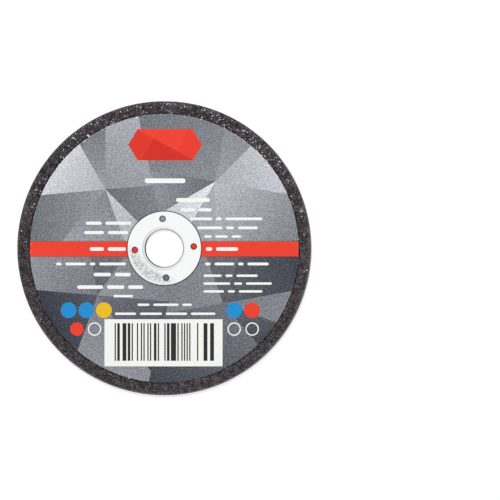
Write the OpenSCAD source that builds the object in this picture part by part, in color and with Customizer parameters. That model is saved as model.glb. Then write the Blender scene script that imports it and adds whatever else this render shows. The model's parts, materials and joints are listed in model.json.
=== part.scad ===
// Flat cut-off wheel: a thin resin-bonded abrasive disc with a printed paper label moulded
// flush into its front face and a drawn metal eyelet pressed over the label to line the bore.
// The wheel lies on its back face at z = 0, label up, with the spindle axis on Z. Millimetres.

/* [Abrasive disc] */
// Outside diameter of the wheel
wheel_d = 75; // [50:0.5:125]
// Thickness of the wheel over the abrasive, label included
wheel_t = 0.9; // [0.65:0.05:3.2]
// Width of the shallow bevel pressed round both faces at the edge
edge_bevel_w = 1.2; // [0.2:0.1:2.5]
// Drop of that bevel on each face
edge_bevel_h = 0.12; // [0.02:0.01:0.3]
// Clearance by which the moulded bore stands back from the ring's bore
moulded_bore_clear = 0.05; // [0.02:0.01:0.12]

/* [Paper label] */
// Width of the bare abrasive rim left outside the label
bare_rim_w = 3.2; // [2.6:0.1:8]
// Thickness of the label
label_t = 0.1; // [0.05:0.01:0.2]
// Run over which the label slopes down to the ring's seat
label_slope_w = 0.3; // [0.1:0.05:1]

/* [Centre ring] */
// Bore that the arbor goes through
bore_d = 9.53; // [6:0.01:16]
// Width of the flange, from the bore to its outer edge
flange_w = 4.6; // [3.8:0.1:8]
// Thickness of the ring's sheet metal
ring_t = 0.25; // [0.15:0.01:0.4]
// Radius on the inside of the bend from flange to collar
bend_r = 0.35; // [0.2:0.05:0.5]
// Depth that the flange is pressed into the front face
seat_depth = 0.1; // [0.02:0.01:0.14]
// Height of the moulded lip that the collar ends on, above the back face
lip_h = 0.15; // [0.05:0.01:0.25]
// Diameter of the keying holes punched in the flange
key_hole_d = 1.7; // [0.8:0.1:2.2]
// Distance from the flange's outer edge to the middle of a keying hole
key_hole_inset = 1.85; // [1.4:0.05:2.2]
// Number of keying holes
key_holes = 4; // [3:1:8]
// Turn of the ring, as it happened to be pressed in
ring_turn = 3.4; // [0:0.1:90]

/* [Hidden] */
$fn = 240;

// Overlap of a cutting shape past the face that it cuts
cut = 1;

wheel_r = wheel_d / 2;
label_r = wheel_r - bare_rim_w;
bore_r = bore_d / 2;
moulded_bore_r = bore_r + moulded_bore_clear;
// Outer wall of the collar
collar_r = bore_r + ring_t;
// Where the bend ends and the flange is flat; the label's own hole ends here too
bend_end_r = collar_r + bend_r;
flange_r = bore_r + flange_w;
key_circle_r = flange_r - key_hole_inset;
// Underside of the flange, lying on the label
seat_z = wheel_t - seat_depth;
// Middle of the bend, where the straight collar starts
bend_z = seat_z - bend_r;

// In each half section below, x is the radius and y is the height.

// Half section of the plain moulded disc, bevelled at the edge
module blank_section() {
    bevel_r = wheel_r - edge_bevel_w;
    polygon([
        [0, 0],
        [bevel_r, 0],
        [wheel_r, edge_bevel_h],
        [wheel_r, wheel_t - edge_bevel_h],
        [bevel_r, wheel_t],
        [0, wheel_t]
    ]);
}

// Half section from the label's underside up to one height on the ring's seat and one beyond it
module label_section(seat_top, face_top) {
    slope_r = flange_r + label_slope_w;
    polygon([
        [bend_end_r, seat_z - label_t],
        [flange_r, seat_z - label_t],
        [slope_r, wheel_t - label_t],
        [label_r, wheel_t - label_t],
        [label_r, face_top],
        [slope_r, face_top],
        [flange_r, seat_top],
        [bend_end_r, seat_top]
    ]);
}

// Half section of what the bore, the collar and its bend take out of the disc
module collar_room() {
    translate([0, -cut]) square([moulded_bore_r, lip_h + 2 * cut]);
    translate([0, lip_h]) square([collar_r, wheel_t + cut - lip_h]);
    difference() {
        translate([collar_r, bend_z]) square([bend_r, wheel_t + cut - bend_z]);
        translate([bend_end_r, bend_z]) circle(bend_r);
    }
}

// Half section of the drawn eyelet: flange, bend and collar of one sheet thickness
module ring_section() {
    translate([bend_end_r, seat_z]) square([flange_r - bend_end_r, ring_t]);
    translate([bore_r, lip_h]) square([ring_t, bend_z - lip_h]);
    intersection() {
        translate([bend_end_r, bend_z]) difference() {
            circle(bend_r + ring_t);
            circle(bend_r);
        }
        translate([bore_r, bend_z]) square(bend_r + ring_t);
    }
}

// Bonded abrasive grain, moulded in one piece round the label and the eyelet
module abrasive_disc() {
    color("#3b3736") rotate_extrude() difference() {
        blank_section();
        label_section(wheel_t + cut, wheel_t + cut);
        collar_room();
    }
}

// Printed paper label, flush with the bare rim and pressed down under the flange
module paper_label() {
    color("#8e9198") rotate_extrude() label_section(seat_z, wheel_t);
}

// Bright sheet-metal eyelet with keying holes that show the label below
module centre_ring() {
    color("#e4e5e6") rotate([0, 0, ring_turn]) difference() {
        rotate_extrude() ring_section();
        for (i = [0 : key_holes - 1])
            rotate([0, 0, i * 360 / key_holes])
                translate([key_circle_r, 0, seat_z - cut])
                    cylinder(d = key_hole_d, h = ring_t + 2 * cut);
    }
}

abrasive_disc();
paper_label();
centre_ring();
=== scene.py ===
import json
import math

import bpy
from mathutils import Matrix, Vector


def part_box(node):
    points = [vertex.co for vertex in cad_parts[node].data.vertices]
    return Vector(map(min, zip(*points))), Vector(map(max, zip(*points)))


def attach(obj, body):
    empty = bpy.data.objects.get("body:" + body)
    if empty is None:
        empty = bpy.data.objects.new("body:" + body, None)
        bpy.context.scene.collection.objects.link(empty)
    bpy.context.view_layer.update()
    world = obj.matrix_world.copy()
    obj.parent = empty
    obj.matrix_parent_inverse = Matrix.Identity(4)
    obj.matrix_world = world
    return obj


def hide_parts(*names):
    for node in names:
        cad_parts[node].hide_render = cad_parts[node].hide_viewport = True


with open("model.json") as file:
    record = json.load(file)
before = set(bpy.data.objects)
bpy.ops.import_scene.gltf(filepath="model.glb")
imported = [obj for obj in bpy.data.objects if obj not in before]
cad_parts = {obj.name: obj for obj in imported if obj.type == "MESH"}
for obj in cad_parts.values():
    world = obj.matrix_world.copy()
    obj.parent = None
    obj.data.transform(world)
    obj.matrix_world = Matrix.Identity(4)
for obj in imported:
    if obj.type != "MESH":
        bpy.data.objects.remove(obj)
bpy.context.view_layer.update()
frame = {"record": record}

# Abrasive disc: abrasive grain in a dark resin bond, pressed and baked in one mould with the label and ring.
# The bare rim is coarse and open, the back is denser, and a shallow bevel runs round both faces.
# It is turned from a fine profile, and its grain is real relief, pressed flat at the mould's wall and floor.
MM = 0.001
wheel_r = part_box("abrasive_disc")[1].x
wheel_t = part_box("abrasive_disc")[1].z
label_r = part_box("paper_label")[1].x
flange_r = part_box("centre_ring")[1].x
flange_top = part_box("centre_ring")[1].z
lip_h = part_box("centre_ring")[0].z
bore_r = frame["record"]["mounts"][0]["dims"]["r_mm"] * MM
moulded_bore_clear = 0.05 * MM
moulded_bore_r = bore_r + moulded_bore_clear
edge_bevel_w = 1.2 * MM
edge_bevel_h = 0.12 * MM
bevel_r = wheel_r - edge_bevel_w
# The rim dips where it meets the label, which lies in a bed that slopes down under the ring
groove_w = 0.35 * MM
groove_depth = 0.08 * MM
label_t = 0.1 * MM
label_slope_w = 0.3 * MM
sheet_t = 0.25 * MM
bend_r = 0.35 * MM
seat_z = flange_top - sheet_t
collar_r = bore_r + sheet_t
bend_end_r = collar_r + bend_r
bend_z = seat_z - bend_r
bed_gap = 0.01 * MM
bed_z = wheel_t - label_t - bed_gap
seat_bed_z = seat_z - label_t - bed_gap
bed_wall_w = 0.05 * MM
# The disc is turned in four parts, from the coarsest round the bore to the finest at the rim,
# with a narrow seam left open between each two
bed_seam_w = 0.6 * MM
back_seam_w = 0.3 * MM
halfway_seam_w = 0.4 * MM
rim_end = (label_r - bed_wall_w, bed_z)
bed_start = (rim_end[0] - bed_seam_w, bed_z)
back_r = bevel_r - back_seam_w
halfway_r = 19.0 * MM
inner_back_r = halfway_r - halfway_seam_w
lip_middle = (moulded_bore_r, lip_h / 2)
rim_step = 0.16 * MM
outer_back_step = 0.42 * MM
inner_back_step = 0.5 * MM
fine_round = 1440
middle_round = 720
coarse_round = 360
weld = MM / 1000


def walk(corners, step):
    """Points every step or less along straight runs between corners, each a radius and a height."""
    points = [corners[0]]
    for (r0, z0), (r1, z1) in zip(corners, corners[1:]):
        runs = max(1, math.ceil(math.hypot(r1 - r0, z1 - z0) / step))
        points += [(r0 + (r1 - r0) * i / runs, z0 + (z1 - z0) * i / runs) for i in range(1, runs + 1)]
    return points


def arc(centre, radius, start, end, steps):
    """Points of a round corner, between two angles in degrees."""
    turns = [math.radians(start + (end - start) * i / steps) for i in range(steps + 1)]
    return [(centre[0] + radius * math.cos(a), centre[1] + radius * math.sin(a)) for a in turns]


def apply_modifier(piece, kind, **settings):
    """Adds a modifier with these settings to a piece and applies it."""
    made = piece.modifiers.new(kind.lower(), kind)
    for name, value in settings.items():
        setattr(made, name, value)
    bpy.context.view_layer.objects.active = piece
    bpy.ops.object.modifier_apply(modifier=made.name)


def turned(name, points, steps):
    """Draws a profile by extruding one vertex from point to point, then turns it round Z."""
    bpy.ops.object.select_all(action="DESELECT")
    bpy.ops.mesh.primitive_plane_add(size=MM, location=(0, 0, 0))
    made = bpy.context.object
    made.name = made.data.name = name
    bpy.ops.object.mode_set(mode="EDIT")
    bpy.ops.mesh.select_mode(type="VERT")
    bpy.ops.mesh.merge(type="CENTER")
    bpy.ops.transform.translate(value=(points[0][0], 0, points[0][1]))
    for (r0, z0), (r1, z1) in zip(points, points[1:]):
        bpy.ops.mesh.extrude_region_move(TRANSFORM_OT_translate={"value": (r1 - r0, 0, z1 - z0)})
    bpy.ops.object.mode_set(mode="OBJECT")
    apply_modifier(
        made, "SCREW", steps=steps, render_steps=steps, use_merge_vertices=True, merge_threshold=weld
    )
    return made


def bridge(piece, *loops):
    """Joins two open round edges of a piece, each given by its radius and height."""
    near = MM / 200
    bpy.context.view_layer.objects.active = piece
    bpy.ops.object.mode_set(mode="EDIT")
    bpy.ops.mesh.select_mode(type="EDGE")
    bpy.ops.mesh.select_all(action="DESELECT")
    bpy.ops.object.mode_set(mode="OBJECT")
    places = [(math.hypot(v.co.x, v.co.y), v.co.z) for v in piece.data.vertices]
    on_loop = [any(abs(r - lr) < near and abs(z - lz) < near for lr, lz in loops) for r, z in places]
    for edge in piece.data.edges:
        edge.select = on_loop[edge.vertices[0]] and on_loop[edge.vertices[1]]
    bpy.ops.object.mode_set(mode="EDIT")
    bpy.ops.mesh.bridge_edge_loops()
    bpy.ops.object.mode_set(mode="OBJECT")


def outward(piece):
    """Closes doubled seams of a turned piece and points its faces outwards."""
    bpy.context.view_layer.objects.active = piece
    bpy.ops.object.mode_set(mode="EDIT")
    bpy.ops.mesh.select_all(action="SELECT")
    bpy.ops.mesh.remove_doubles(threshold=weld)
    bpy.ops.mesh.normals_make_consistent(inside=False)
    bpy.ops.object.mode_set(mode="OBJECT")


rim_profile = walk(
    [
        (bevel_r, 0),
        (wheel_r, edge_bevel_h),
        (wheel_r, wheel_t - edge_bevel_h),
        (bevel_r, wheel_t),
        (label_r + groove_w, wheel_t),
        (label_r, wheel_t - groove_depth),
        rim_end,
    ],
    rim_step,
)
bed_profile = (
    [
        bed_start,
        (flange_r + label_slope_w, bed_z),
        (flange_r, seat_bed_z),
        (bend_end_r - bed_gap, seat_bed_z),
    ]
    + arc((bend_end_r, bend_z), bend_r - bed_gap, start=95, end=180, steps=4)
    + [(collar_r + bed_gap, lip_h), (moulded_bore_r, lip_h), lip_middle]
)
grain = turned("abrasive_grain", rim_profile, fine_round)
other_parts = [
    turned("outer_back", walk([(halfway_r, 0), (back_r, 0)], outer_back_step), middle_round),
    turned("inner_back", walk([(moulded_bore_r, 0), (inner_back_r, 0)], inner_back_step), coarse_round),
    turned("label_bed", bed_profile, coarse_round),
]
bpy.ops.object.select_all(action="DESELECT")
for part in other_parts + [grain]:
    part.select_set(True)
bpy.context.view_layer.objects.active = grain
bpy.ops.object.join()
bridge(grain, (bevel_r, 0), (back_r, 0))
bridge(grain, (halfway_r, 0), (inner_back_r, 0))
bridge(grain, (moulded_bore_r, 0), lip_middle)
bridge(grain, rim_end, bed_start)
outward(grain)


def share(value, low, high):
    """How far a value lies from low to high, from 0 to 1."""
    return min(1.0, max(0.0, (value - low) / (high - low)))


def group_of(piece, name, weight):
    """A vertex group whose weights come from each vertex's radius and height."""
    group = piece.vertex_groups.new(name=name)
    for v in piece.data.vertices:
        amount = weight(math.hypot(v.co.x, v.co.y), v.co.z)
        if amount > 0:
            group.add([v.index], amount, "REPLACE")
    return group.name


corner_w = 0.1 * MM
corner_r = wheel_r - corner_w
corner_fade = 0.4 * MM
groove_fade = 0.03 * MM
back_fade = 1.0 * MM
flat = 0.01 * MM


def rim_weight(r, z):
    """Full on the front of the bare rim, fading out at the label and at the sharp corner."""
    on_face = 1.0 if z > wheel_t / 2 else 0.0
    return on_face * share(r, label_r - groove_fade, label_r) * share(r, corner_r, corner_r - corner_fade)


def edge_weight(r, z):
    """Full on the edge wall, fading in over the corner in front and over the bevel behind."""
    if z > wheel_t / 2:
        return share(r, corner_r - corner_fade, corner_r)
    return share(r, bevel_r, bevel_r + back_fade)


def back_weight(r, z):
    """Full on the flat back, fading in from the bore."""
    return share(r, moulded_bore_r, moulded_bore_r + back_fade) if z < flat and r <= bevel_r else 0.0


def relief(piece, where, kind, size, depth, level, **settings):
    """Raises cells or clouds of a size on a piece, by a depth, about a level of the pattern."""
    texture = bpy.data.textures.new(kind.lower(), kind)
    texture.noise_scale = size
    for name, value in settings.items():
        setattr(texture, name, value)
    apply_modifier(
        piece, "DISPLACE", texture=texture, texture_coords="LOCAL", direction="NORMAL",
        strength=depth, mid_level=level, vertex_group=where,
    )


shown_rim = group_of(grain, "rim", rim_weight)
edge_wall = group_of(grain, "edge", edge_weight)
flat_back = group_of(grain, "back", back_weight)
# Cells where the second nearest centre is weighed against the nearest give angular grains
chips = {"distance_metric": "DISTANCE", "weight_1": -1.0, "weight_2": 1.0}
smooth_places = [v.co.copy() for v in grain.data.vertices]
smooth_normals = [v.normal.copy() for v in grain.data.vertices]
relief(grain, shown_rim, "CLOUDS", size=1.4 * MM, depth=0.10 * MM, level=0.55)
relief(grain, shown_rim, "VORONOI", size=0.6 * MM, depth=0.38 * MM, level=0.16, **chips)
relief(grain, shown_rim, "VORONOI", size=0.3 * MM, depth=0.22 * MM, level=0.13, **chips)
relief(grain, edge_wall, "CLOUDS", size=1.4 * MM, depth=0.14 * MM, level=0.5)
relief(grain, edge_wall, "VORONOI", size=0.45 * MM, depth=0.35 * MM, level=0.12, **chips)
relief(grain, flat_back, "VORONOI", size=0.7 * MM, depth=0.28 * MM, level=0.2, **chips)
# The mould's wall and floor press the grains flat where they would stand out of it
for v in grain.data.vertices:
    pressed = min(1.0, wheel_r / math.hypot(v.co.x, v.co.y))
    v.co = (v.co.x * pressed, v.co.y * pressed, max(0.0, v.co.z))
# How far each point of the grain stands out or lies in a pit, in millimetres, for the colour
risen = [(v.co - p).dot(n) / MM for v, p, n in zip(grain.data.vertices, smooth_places, smooth_normals)]
grain.data.attributes.new("rise", "FLOAT", "POINT").data.foreach_set("value", risen)


class Wire:
    """A shader socket that sums can be written on: each operator adds a Math node."""

    def __init__(self, tree, socket=None):
        self.tree = tree
        self.socket = socket

    def node(self, kind, settings=None, inputs=None, output=0):
        """Adds a node, sets it up, and fills its sockets with values or links."""
        made = self.tree.nodes.new(kind)
        for name, value in (settings or {}).items():
            setattr(made, name, value)
        for key, value in (inputs or {}).items():
            if isinstance(value, Wire):
                self.tree.links.new(value.socket, made.inputs[key])
            else:
                made.inputs[key].default_value = value
        return Wire(self.tree, made.outputs[output] if len(made.outputs) else None)

    def math(self, operation, *values):
        return self.node("ShaderNodeMath", {"operation": operation}, dict(enumerate(values)))

    def __add__(self, other):
        return self.math("ADD", self, other)

    __radd__ = __add__

    def __sub__(self, other):
        return self.math("SUBTRACT", self, other)

    def __rsub__(self, other):
        return self.math("SUBTRACT", other, self)

    def __mul__(self, other):
        return self.math("MULTIPLY", self, other)

    __rmul__ = __mul__

    def __truediv__(self, other):
        return self.math("DIVIDE", self, other)

    def __pow__(self, other):
        return self.math("POWER", self, other)

    def __gt__(self, other):
        return self.math("GREATER_THAN", self, other)

    def __lt__(self, other):
        return self.math("LESS_THAN", self, other)

    def __abs__(self):
        return self.math("ABSOLUTE", self)

    def __or__(self, other):
        return self.math("MAXIMUM", self, other)

    def __and__(self, other):
        return self.math("MINIMUM", self, other)

    def ramp(self, low, high, to_low=0.0, to_high=1.0):
        """Eases from one value to another as this one goes from low to high."""
        return self.node(
            "ShaderNodeMapRange",
            {"interpolation_type": "SMOOTHSTEP"},
            {"Value": self, "From Min": low, "From Max": high, "To Min": to_low, "To Max": to_high},
        )

    def tint(self, under, over):
        """This mask lays one colour over another."""
        return self.node(
            "ShaderNodeMix", {"data_type": "RGBA"}, {"Factor": self, 6: under, 7: over}, output=2
        )


def ink(red, green, blue):
    """A colour as it looks on screen, 0 to 255, in the renderer's own scale."""
    parts = [c / 255 for c in (red, green, blue)]
    return tuple(((c + 0.055) / 1.055) ** 2.4 if c > 0.04 else c / 12.92 for c in parts) + (1,)


def new_material(piece, name):
    """Gives a piece an empty material, and returns the place on the piece in millimetres."""
    made = bpy.data.materials.new(name)
    made.use_nodes = True
    made.node_tree.nodes.clear()
    piece.data.materials.clear()
    piece.data.materials.append(made)
    start = Wire(made.node_tree)
    metres = start.node("ShaderNodeTexCoord", output=3)
    return start.node("ShaderNodeVectorMath", {"operation": "SCALE"}, {0: metres, "Scale": 1 / MM})


def part_of(place, axis):
    """One coordinate of a place: 0 across, 1 up, 2 out of the label's face."""
    return place.node("ShaderNodeSeparateXYZ", None, {"Vector": place}, axis)


def noise(place, per_mm, detail, roughness):
    """A cloudy grey with about so many lumps to the millimetre."""
    return place.node(
        "ShaderNodeTexNoise", None,
        {"Vector": place, "Scale": per_mm, "Detail": detail, "Roughness": roughness},
    )


def cells(place, per_mm):
    """A grey of its own for each of the cells that fill a place."""
    colour = place.node("ShaderNodeTexVoronoi", None, {"Vector": place, "Scale": per_mm}, output=1)
    return place.node("ShaderNodeSeparateColor", None, {"Color": colour})


def bump(height, strength, distance):
    """Fine relief for a shader's normal."""
    return height.node(
        "ShaderNodeBump", None, {"Strength": strength, "Distance": distance, "Height": height}
    )


def surface(place, **sockets):
    """Ends a material in one principled shader."""
    named = {name.replace("_", " "): value for name, value in sockets.items()}
    shader = place.node("ShaderNodeBsdfPrincipled", None, named)
    place.node("ShaderNodeOutputMaterial", None, {"Surface": shader})


bond = ink(16, 13, 15)
worn_front = ink(114, 107, 111)
worn_back = ink(118, 105, 102)
painted_glint_white = ink(234, 227, 232)
shred_white = ink(236, 236, 232)
# Radii for the materials, which work in millimetres
wheel_mm = wheel_r / MM
bevel_mm = bevel_r / MM
label_mm = label_r / MM
flange_mm = flange_r / MM
bore_mm = bore_r / MM

place = new_material(grain, "bonded_abrasive")
across = part_of(place, 0)
up = part_of(place, 1)
from_axis = (across ** 2 + up ** 2) ** 0.5
on_front = part_of(place, 2).ramp(0.3, 0.5)
on_back = 1 - on_front
# Tops of grains are pale and pits between them dark, partly from the resin bond and partly as painted shade
# in the pits, under a fine dust of resin
rise = place.node("ShaderNodeAttribute", {"attribute_name": "rise"}, output=2)
on_edge = from_axis.ramp(wheel_mm - 0.45, wheel_mm - 0.15)
back_top = noise(place, per_mm=3.0, detail=2.0, roughness=0.6).ramp(0.3, 0.7)
top = (rise + on_edge * 0.03).ramp(-0.09, 0.045) * on_front + on_back * back_top
chip = cells(place, per_mm=3.6)
dust = noise(place, per_mm=6.5, detail=4.0, roughness=0.8)
clump = noise(place, per_mm=0.45, detail=2.0, roughness=0.5)
chip_tone = top * 0.4 + chip * 0.28 + dust.ramp(0.25, 0.75) * 0.32
# The rolled edge is worn a little lighter, the groove beside the label is darkened as painted shade, and the
# front is a little lighter towards the lower right, with a painted highlight along the sharp outer edge
# there and painted shade along it at the upper left
rolled_edge = from_axis.ramp(bevel_mm - 0.3, bevel_mm + 0.3)
to_lower_right = (across * 0.72 - up * 0.69) / wheel_mm
# Painted highlight along the sharp outer edge at the lower right, and painted shade along it at the upper
# left
painted_edge_light_and_shade = from_axis.ramp(wheel_mm - 0.4, wheel_mm - 0.15) * to_lower_right.ramp(-0.5, 0.9, -0.2, 0.3)
edge_light_and_lower_right_lift = (painted_edge_light_and_shade + to_lower_right.ramp(0.2, 1.0, 0.0, 0.05)) * on_front
# Painted shade in the groove beside the label
painted_groove_shade = from_axis.ramp(label_mm + 0.12, label_mm + 0.4, 1.0, 0.0) * on_front
dense_back = on_back * rolled_edge.ramp(0, 1, 0.25, 0.19)
# Real wear, with the painted edge highlight and painted groove shade added in
wear_and_painted_light_shade = rolled_edge * 0.05 + edge_light_and_lower_right_lift - painted_groove_shade * 0.25 - dense_back
tone_with_painted_shading = (chip_tone.ramp(0.2, 0.92) * 0.8 + clump * 0.3 + wear_and_painted_light_shade | 0.0) ** 1.45
body = tone_with_painted_shading.tint(bond, on_front.tint(worn_back, worn_front))
# Painted glints: bare flakes are painted bright in clusters, most of them towards the top of the label,
# where the light falls
cluster = noise(place, per_mm=0.45, detail=1.0, roughness=0.5).ramp(0.36, 0.58) * up.ramp(-20, 32, 0.1, 1.0)
flake_place = place.node("ShaderNodeVectorMath", {"operation": "MULTIPLY"}, {0: place, 1: (0.6, 1.0, 1.0)})
flake = cells(flake_place, per_mm=5.0) > cluster.ramp(0, 1, 1.0, 0.905)
painted_glints = flake & (from_axis < wheel_mm - 0.45) & (on_front * top > 0.4)
# A shred of white paper is caught in the rim beside the label
shred_at = (-19.35, 28.68)
shred_turn = math.radians(56)
shred_w = 0.4
shred_l = 0.8
shred_x = across - shred_at[0]
shred_y = up - shred_at[1]
along_shred = abs(shred_y * math.cos(shred_turn) - shred_x * math.sin(shred_turn))
beside_shred = abs(shred_x * math.cos(shred_turn) + shred_y * math.sin(shred_turn))
shred = (beside_shred < shred_w / 2) & (along_shred < shred_l / 2) & on_front
surface(
    place,
    Base_Color=shred.tint(painted_glints.tint(body, painted_glint_white), shred_white),
    Roughness=tone_with_painted_shading.ramp(0, 1, 0.8, 0.55),
    Specular_IOR_Level=0.2,
    Normal=bump(dust, strength=0.6, distance=0.05 * MM),
)
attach(grain, "root")
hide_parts("abrasive_disc")

# Paper label: coated paper, printed mostly in grey, red and white, and moulded flush into the disc.
# The press leaves the grain's speckle in it, and it slopes down a little under the ring's flange.
label_edge_w = 0.25 * MM
label_edge_drop = 0.05 * MM
label_step = 4.0 * MM
label_soft_angle = math.radians(40)
label_top = walk(
    [
        (bend_end_r, seat_z),
        (flange_r, seat_z),
        (flange_r + label_slope_w, wheel_t),
        (label_r - label_edge_w, wheel_t),
        (label_r, wheel_t - label_edge_drop),
    ],
    label_step,
)
label_underside = [
    (label_r, wheel_t - label_t),
    (flange_r + label_slope_w, wheel_t - label_t),
    (flange_r, seat_z - label_t),
    (bend_end_r, seat_z - label_t),
]
label = turned("printed_label", label_underside[-1:] + label_top + label_underside, fine_round)
outward(label)


def cut_edge_weight(r, z):
    """Full on the label's cut edge alone."""
    return 1.0 if r > label_r - bed_wall_w else 0.0


cut_edge = group_of(label, "cut_edge", cut_edge_weight)
flat_heights = [v.co.z for v in label.data.vertices]
relief(label, cut_edge, "CLOUDS", size=0.5 * MM, depth=0.16 * MM, level=0.6)
relief(label, cut_edge, "VORONOI", size=0.4 * MM, depth=0.2 * MM, level=0.5, **chips)
# The edge is ragged in outline only
for v, height in zip(label.data.vertices, flat_heights):
    v.co.z = height
bpy.ops.object.shade_smooth_by_angle(angle=label_soft_angle)

red = ink(244, 66, 48)
deep_red = ink(216, 46, 34)
white = ink(254, 255, 251)
blue = ink(32, 146, 214)
yellow = ink(244, 196, 30)
dark = ink(40, 40, 42)
# Places and sizes on the print are in millimetres, across and up from the wheel's axis
place = new_material(label, "label_print")
across = part_of(place, 0)
up = part_of(place, 1)
from_axis = (across ** 2 + up ** 2) ** 0.5


def along(angle):
    """Distance from the wheel's axis along a direction in degrees."""
    turn = math.radians(angle)
    return across * math.cos(turn) + up * math.sin(turn)


def away_from(x, y):
    """Distance from a point of the print."""
    return ((across - x) ** 2 + (up - y) ** 2) ** 0.5


def crease(hub, angle, beyond, before):
    """A straight crease through a hub: one tone beyond it in a direction, another before it."""
    turn = math.radians(angle)
    offset = hub[0] * math.cos(turn) + hub[1] * math.sin(turn)
    return place.node(
        "ShaderNodeMix", {"data_type": "FLOAT"},
        {"Factor": along(angle) > offset, 2: before, 3: beyond},
    )


fade_span = 7


def fade(tone, angle, change):
    """A tone that changes evenly along a direction, by so much for each span."""
    return along(angle) * (change / fade_span) + tone


# The grey ground is a fan of facets round a hub in each quarter of the label
upper_left = (-15, 15)
left_top = crease(
    upper_left, 95,
    crease(
        upper_left, 30,
        crease(upper_left, 0, fade(0.56, 60, 0.03), fade(0.79, 100, -0.07)),
        fade(0.49, 150, 0.07),
    ),
    crease(
        upper_left, 200,
        crease(upper_left, 140, fade(0.72, 180, -0.06), fade(0.57, 250, 0.05)),
        crease(upper_left, 45, fade(0.52, 0, 0.05), fade(0.68, 300, -0.04)),
    ),
)
upper_right = (13, 17)
right_top = crease(
    upper_right, 80,
    crease(
        upper_right, -10,
        crease(upper_right, -45, fade(0.55, 20, 0.05), fade(0.74, 60, -0.04)),
        fade(0.58, 120, -0.03),
    ),
    crease(
        upper_right, 300,
        crease(
            upper_right, 330,
            crease(upper_right, 0, fade(0.74, 320, -0.07), fade(0.61, 260, -0.03)),
            fade(0.76, 220, -0.06),
        ),
        fade(0.56, 190, 0.07),
    ),
)
lower_left = (-17, -12)
left_low = crease(
    lower_left, 85,
    crease(
        lower_left, 10,
        crease(lower_left, -35, fade(0.47, 20, -0.04), fade(0.44, 80, 0.04)),
        fade(0.41, 150, 0.04),
    ),
    crease(
        lower_left, 215,
        crease(lower_left, 160, fade(0.49, 200, -0.06), fade(0.38, 250, 0.04)),
        crease(lower_left, 330, fade(0.43, 300, -0.05), fade(0.50, 270, -0.06)),
    ),
)
lower_right = (15, -14)
right_low = crease(
    lower_right, 100,
    crease(
        lower_right, 160,
        crease(lower_right, 200, fade(0.47, 170, -0.03), fade(0.42, 100, 0.04)),
        fade(0.41, 20, -0.04),
    ),
    crease(
        lower_right, 250,
        crease(lower_right, 220, fade(0.45, 230, -0.05), fade(0.53, 270, -0.08)),
        crease(lower_right, 330, fade(0.38, 330, 0.03), fade(0.44, 0, -0.04)),
    ),
)
facets = crease(
    (0, -0.2), 90,
    crease((-2, 12), 12, right_top, left_top),
    crease((1, -14), -14, right_low, left_low),
)
# The paper is darkened under the ring as painted shade, more towards the top, and speckled all over by the
# grain below it
painted_shade_under_ring = from_axis.ramp(flange_mm - 0.6, flange_mm - 0.4, 1.0, 0.0)
speck = noise(place, per_mm=2.3, detail=3.0, roughness=0.8)
fibre = noise(place, per_mm=4.2, detail=3.0, roughness=0.9)
speckle = (speck - 0.5) * 0.5 + (fibre - 0.5) * 0.9 + 0.015
tone = facets - painted_shade_under_ring * up.ramp(-8, 8, 0.03, 0.17) + speckle
level = (tone | 0.05) ** 2.2
grey = place.node(
    "ShaderNodeCombineColor", None,
    {"Red": level * 0.95, "Green": level * 0.966 + 0.006, "Blue": level * 1.015 + 0.023},
)

# A red stripe with a thin keyline runs across the middle, and a red six-sided field stands above it
stripe_y = -0.18
stripe_half_h = 1.9
keyline_w = 0.2
keyline_gap = 0.06
from_stripe = abs(up - stripe_y)
stripe = from_stripe < stripe_half_h
keyline = abs(from_stripe - stripe_half_h - keyline_gap) < keyline_w / 2
field_at = (0.2, 26.4)
field_half_h = 4.0
field_half_w = 9.4
field_slant = 0.6
above_field = abs(up - field_at[1])
beside_field = abs(across - field_at[0])
field = (above_field < field_half_h) & (beside_field + above_field * field_slant < field_half_w)
field_facets = crease(
    field_at, 62,
    crease((4.4, 26.4), -20, 0.25, 0.0),
    crease((-3.6, 26.4), 150, 0.6, 1.0),
)
field_red = (field_facets * field).tint(red, deep_red)
print_colour = (stripe | field).tint((keyline * 0.55).tint(grey, dark), field_red)


def bar(x, y, width, height):
    """A plain printed bar, by its middle and size."""
    return (abs(across - x) < width / 2) & (abs(up - y) < height / 2)


def row_of_dashes(y, height, start, widths, gap=1.0):
    """A row of dashes with round ends, of these widths from its left end."""
    beside = None
    for width in widths:
        middle = start + width / 2
        beyond = abs(across - middle) - (width - height) / 2
        beside = beyond if beside is None else beside & beyond
        start += width + gap
    return ((beside | 0.0) ** 2 + (up - y) ** 2) ** 0.5 < height / 2


# White rows of dashes, each with its height on the label, thickness, left end and widths
dash_rows = [
    (17.2, 1.2, -5.0, (10.4,)),
    (12.3, 1.0, 3.0, (8.6,)),
    (9.8, 0.8, 4.2, (3.6, 3.2)),
    (7.5, 0.7, 6.6, (5.6, 1.4, 9.4)),
    (6.4, 0.8, -20.0, (4.0, 6.6)),
    (5.2, 0.7, 8.4, (6.4, 2.0, 5.0)),
    (4.0, 0.8, -20.4, (5.0, 5.2)),
    (3.0, 0.6, 10.2, (1.8, 3.2, 2.4)),
    (-0.19, 0.9, -19.0, (3.6, 4.6)),
    (-0.19, 0.9, 10.6, (1.6, 5.6)),
    (-4.0, 0.7, -27.6, (1.4, 5.2, 1.4, 6.8)),
    (-4.0, 0.7, 10.4, (1.4, 5.0, 1.4, 5.4)),
    (-6.7, 0.9, -18.0, (4.4, 4.0)),
    (-7.0, 0.6, 10.0, (4.6, 1.8, 5.4)),
    (-9.0, 0.6, 10.0, (6.8, 2.0, 6.6)),
    (-9.9, 0.9, -22.2, (6.6, 4.4, 3.8)),
    (-11.0, 0.6, 10.0, (5.2, 1.8, 6.0)),
    (-12.2, 0.6, -13.0, (5.0,)),
    (-14.4, 0.6, -6.8, (3.0, 6.4, 2.4)),
    (-16.7, 0.6, -12.6, (5.4, 5.6, 5.4, 6.2)),
]
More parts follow.
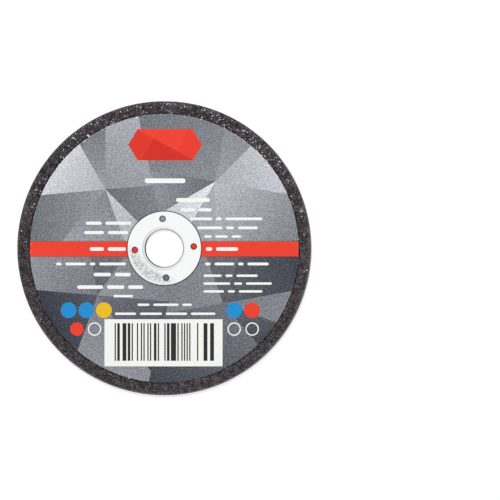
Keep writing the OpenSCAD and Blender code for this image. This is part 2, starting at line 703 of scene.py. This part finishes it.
white_print = bar(-0.2, -24.1, width=30.1, height=12.0)
for row in dash_rows:
    white_print = white_print | row_of_dashes(*row)
circle_r = 1.55
circle_line_w = 0.3
circles = [(-17.8, -20.6), (17.8, -20.6), (22.4, -20.6)]
for x, y in circles:
    white_print = white_print | (abs(away_from(x, y) - circle_r) < circle_line_w / 2)
print_colour = white_print.tint(print_colour, white)
# Dark bars of random width stand in the white panel at the foot
bars_per_mm = 3.0
bar_cell = place.math("FLOOR", across * bars_per_mm)
bar_draw = place.node("ShaderNodeTexWhiteNoise", {"noise_dimensions": "1D"}, {"W": bar_cell})
bars = (bar_draw > 0.52) & bar(-0.2, -23.9, width=26.0, height=9.6)
print_colour = bars.tint(print_colour, dark)
# Plain dots stand on both sides of the panel, each with its colour, middle and diameter
dots = [
    (blue, -24.4, -15.8, 4.0),
    (blue, -19.9, -15.8, 4.0),
    (yellow, -15.4, -15.8, 4.0),
    (red, -22.3, -20.6, 3.4),
    (blue, 17.8, -15.8, 4.0),
    (red, 22.4, -15.8, 4.0),
]
for colour, x, y, diameter in dots:
    print_colour = (away_from(x, y) < diameter / 2).tint(print_colour, colour)
# The pressed paper speckles all of the ink a little
print_colour = (speck * 0.4 + fibre * 0.6).ramp(0.35, 0.6, 0.17, 0.0).tint(print_colour, dark)
# Painted shade darkens the groove round the ring's flange and the paper along the walls of its punched holes
key_hole_r = 0.85 * MM
key_hole_inset = 1.85 * MM
key_circle_r = flange_r - key_hole_inset
key_holes = 4
ring_turn = math.radians(3.4)
key_turns = [ring_turn + i * math.tau / key_holes for i in range(key_holes)]
painted_shade_round_ring = abs(from_axis - flange_mm - 0.06).ramp(0.06, 0.3, 0.85, 0.0) | painted_shade_under_ring * 0.2
for turn in key_turns:
    from_hole = away_from(key_circle_r / MM * math.cos(turn), key_circle_r / MM * math.sin(turn))
    painted_shade_round_ring = painted_shade_round_ring | from_hole.ramp(0.46, 0.76, 0.0, 0.95) * (from_hole < 1.0)
print_colour = painted_shade_round_ring.tint(print_colour, dark)
# Grain has nicked the cut edge, so that bare paper shows in places, most of them at the top
nicked = noise(place, per_mm=1.3, detail=2.0, roughness=0.6).ramp(0.58, 0.68) * up.ramp(-10, 30, 0.1, 0.8)
nicks = from_axis.ramp(label_mm - 0.45, label_mm - 0.1) * nicked
surface(
    place,
    Base_Color=nicks.tint(print_colour, white),
    Roughness=speck.ramp(0.3, 0.7, 0.5, 0.65),
    Specular_IOR_Level=0.25,
    Normal=bump(noise(place, per_mm=2.2, detail=2.0, roughness=0.6), strength=0.35, distance=0.03 * MM),
)
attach(label, "root")
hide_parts("paper_label")

# Centre ring: a bright sheet-metal eyelet, drawn in one piece and pressed over the label into the bore.
# Its flange is flat with four punched holes, and its outer edge is rounded by the press.
edge_round = 0.06 * MM
hole_break = 0.05 * MM
ring_round = 256
punch_round = 64
hole_angle = math.radians(50)
ring_soft_angle = math.radians(35)
ring_profile = (
    arc((flange_r - edge_round, flange_top - edge_round), edge_round, start=0, end=90, steps=4)
    + arc((bend_end_r, bend_z), bend_r + sheet_t, start=90, end=180, steps=12)
    + [(bore_r, lip_h), (collar_r, lip_h)]
    + arc((bend_end_r, bend_z), bend_r, start=180, end=90, steps=6)
    + [(flange_r, seat_z), (flange_r, flange_top - edge_round)]
)
ring = turned("bright_ring", ring_profile, ring_round)
outward(ring)
for turn in key_turns:
    bpy.ops.object.select_all(action="DESELECT")
    bpy.ops.mesh.primitive_cylinder_add(
        vertices=punch_round, radius=key_hole_r, depth=4 * sheet_t,
        location=(key_circle_r * math.cos(turn), key_circle_r * math.sin(turn), flange_top - sheet_t / 2),
    )
    punch = bpy.context.object
    apply_modifier(ring, "BOOLEAN", object=punch, operation="DIFFERENCE", solver="EXACT")
    bpy.data.objects.remove(punch)
apply_modifier(ring, "BEVEL", width=hole_break, segments=3, limit_method="ANGLE", angle_limit=hole_angle)
bpy.ops.object.select_all(action="DESELECT")
ring.select_set(True)
bpy.ops.object.shade_smooth_by_angle(angle=ring_soft_angle)

bright_plate = (0.975, 0.978, 0.98, 1)
shaded_and_hazy_plate = (0.24, 0.245, 0.26, 1)
bore_shade_colour = ink(34, 31, 30)
flange_top_mm = flange_top / MM
place = new_material(ring, "tinned_sheet")
across = part_of(place, 0)
up = part_of(place, 1)
from_axis = (across ** 2 + up ** 2) ** 0.5
# A painted dark reflection mottles the plating in a band at the lower left of the flange
peel = noise(place, per_mm=2.4, detail=3.0, roughness=0.6)
flecks = noise(place, per_mm=3.4, detail=2.0, roughness=0.6)
reflection_side = (across * -0.62 + up * -0.79).ramp(3.8, 6.4)
reflection_band = from_axis.ramp(5.8, 6.9, 0.35, 1.0) * from_axis.ramp(8.2, 9.1, 1.0, 0.35)
painted_reflection_mottle = reflection_side * reflection_band * (peel * 0.35 + flecks * 0.65).ramp(0.36, 0.6)
# A line of painted shade lies where the bend begins, stronger on the left, painted shade darkens the cut
# edges and the collar, and all is hazy
leftward = (across * -0.94 + up * -0.34) / from_axis
from_bend = abs(from_axis - bend_end_r / MM - 0.1)
painted_bend_shade = from_bend.ramp(0.0, 0.28, 1.0, 0.0) * leftward.ramp(-1, 1, 0.12, 0.55)
painted_wall_shade = part_of(place, 2).ramp(flange_top_mm - 0.28, flange_top_mm - 0.04, 0.9, 0.0)
turned_lines = place.node(
    "ShaderNodeTexNoise", {"noise_dimensions": "1D"}, {"W": from_axis, "Scale": 9.0, "Detail": 3.0}
)
haze = (peel * 0.5 + turned_lines * 0.5).ramp(0.35, 0.65, 0.0, 0.07)
# Painted reflection and painted shade, with the real haze, darken the plate
shade = painted_reflection_mottle * 0.7 | painted_bend_shade | painted_wall_shade | haze
# Painted shade darkens the edge of the bore on the left
painted_bore_shade = from_axis.ramp(bore_mm + 0.14, bore_mm + 0.36, 1.0, 0.0) * leftward.ramp(0.25, 0.75)
surface(
    place,
    Base_Color=painted_bore_shade.tint(shade.tint(bright_plate, shaded_and_hazy_plate), bore_shade_colour),
    Metallic=1.0,
    Roughness=shade.ramp(0, 1, 0.28, 0.5),
    Normal=bump(peel, strength=0.12, distance=0.02 * MM),
)
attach(ring, "root")
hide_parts("centre_ring")

# Floor: a plain white sheet that the wheel lies on, which keeps only the wheel's soft shadow.
# The light falls off away from the wheel, and the sheet's own glow makes up for it where it is seen.
floor_w = 3.0
sheet_grey = (0.47, 0.47, 0.47, 1)
bpy.ops.object.select_all(action="DESELECT")
bpy.ops.mesh.primitive_plane_add(size=floor_w, location=(0, 0, 0))
floor = bpy.context.object
floor.name = "floor"


def rays(start):
    """Masks for the camera's own rays, those that metal mirrors and those that pass through glass."""
    return [start.node("ShaderNodeLightPath", output=i) for i in (0, 3, 6)]


place = new_material(floor, "white_sheet")
from_axis = (part_of(place, 0) ** 2 + part_of(place, 1) ** 2) ** 0.5
to_camera, to_metal, to_glass = rays(place)
seen = to_camera | to_metal | to_glass
whiter = seen * from_axis.ramp(90, 500, 0.6, 0.74)
glow = place.node("ShaderNodeEmission", None, {"Color": (1, 1, 1, 1), "Strength": whiter})
matt = place.node("ShaderNodeBsdfDiffuse", None, {"Color": sheet_grey})
both = place.node("ShaderNodeAddShader", None, {0: glow, 1: matt})
place.node("ShaderNodeOutputMaterial", None, {"Surface": both})

# Light: an even white room, with one softbox beyond the top of the wheel for the grain's relief.
# Bright metal mirrors the room and not the softbox: white overhead, a little greyer towards the horizon.
fill = 0.6
horizon = 0.55
world = bpy.data.worlds.new("white_room")
bpy.context.scene.world = world
world.use_nodes = True
world.node_tree.nodes.clear()
room = Wire(world.node_tree)
to_camera, to_metal, to_glass = rays(room)
overhead = part_of(room.node("ShaderNodeTexCoord", output=0), 2).ramp(0.0, 0.9, horizon, 1.0)
strength = to_camera | to_metal * overhead | to_glass | fill
sky = room.node("ShaderNodeBackground", None, {"Color": (1, 1, 1, 1), "Strength": strength})
room.node("ShaderNodeOutputWorld", None, {"Surface": sky})

key_share = 0.42
key_reach = 0.9
key_height = math.radians(52)
key_left = 0.12
key_size = 0.3
bpy.ops.object.light_add(
    type="AREA",
    location=(-key_left, key_reach * math.cos(key_height), key_reach * math.sin(key_height)),
)
key = bpy.context.object
key.data.shape = "SQUARE"
key.visible_glossy = False
key.data.size = key_size
key.data.energy = key_share * math.pi ** 2 * key_reach ** 2 / math.sin(key_height)
key.rotation_euler = (-key.location).to_track_quat("-Z", "Y").to_euler()

# Camera: straight above, looking down beside the wheel as the picture is framed.
# The picture is 500 pixels square, and the wheel's radius and middle in it set the scale.
picture_px = 500
wheel_px = 147.1
wheel_at_px = (163.82, 247.75)
scale = wheel_r / wheel_px
camera_height = 0.5
sensor_mm = 36
middle_px = (picture_px - 1) / 2
bpy.ops.object.camera_add(
    location=(
        (middle_px - wheel_at_px[0]) * scale,
        (wheel_at_px[1] - middle_px) * scale,
        wheel_t + camera_height,
    ),
    rotation=(0, 0, 0),
)
camera = bpy.context.object
camera.data.sensor_width = sensor_mm
camera.data.lens = sensor_mm * camera_height / (picture_px * scale)
camera.data.clip_start = 0.01
bpy.context.scene.camera = camera
bpy.context.scene.view_settings.view_transform = "Standard"
